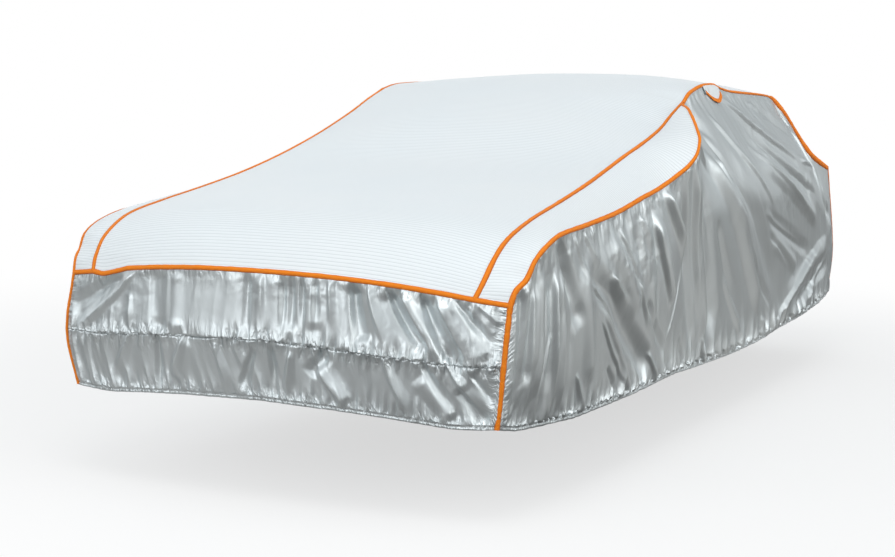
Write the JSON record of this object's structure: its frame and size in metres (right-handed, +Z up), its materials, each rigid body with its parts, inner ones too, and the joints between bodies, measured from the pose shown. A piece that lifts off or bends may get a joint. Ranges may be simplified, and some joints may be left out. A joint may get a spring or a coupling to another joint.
{
  "type": "car cover",
  "caption": "Fitted full car cover with a padded white top, silver film skirts gathered by elastic at front and rear, and orange tape binding its seams.",
  "frame": {"origin": "on the underside of the top panel at its highest part, where the cover rests on what holds it up", "axes": "+X towards the cover's left, the side with the roof tab; +Y towards its rear; +Z up"},
  "size_m": [1.825, 4.7769, 1.2099],
  "materials": {
    "padded_white": "matt laminated foam with fine ribs across it",
    "silver_film": "satin silver film, crinkled",
    "orange_tape": "matt woven tape"
  },
  "bodies": {
    "root": {"top_panel": "padded_white", "gore_left": "padded_white", "gore_right": "padded_white", "roof_tab_left": "padded_white", "front_skirt": "silver_film", "rear_skirt": "silver_film", "side_skirt_left": "silver_film", "side_skirt_right": "silver_film", "side_binding_left": "orange_tape", "side_binding_right": "orange_tape", "front_binding": "orange_tape", "rear_binding": "orange_tape", "inner_binding_left": "orange_tape", "inner_binding_right": "orange_tape", "roof_tab_edge_left": "orange_tape"}
  },
  "joints": []
}
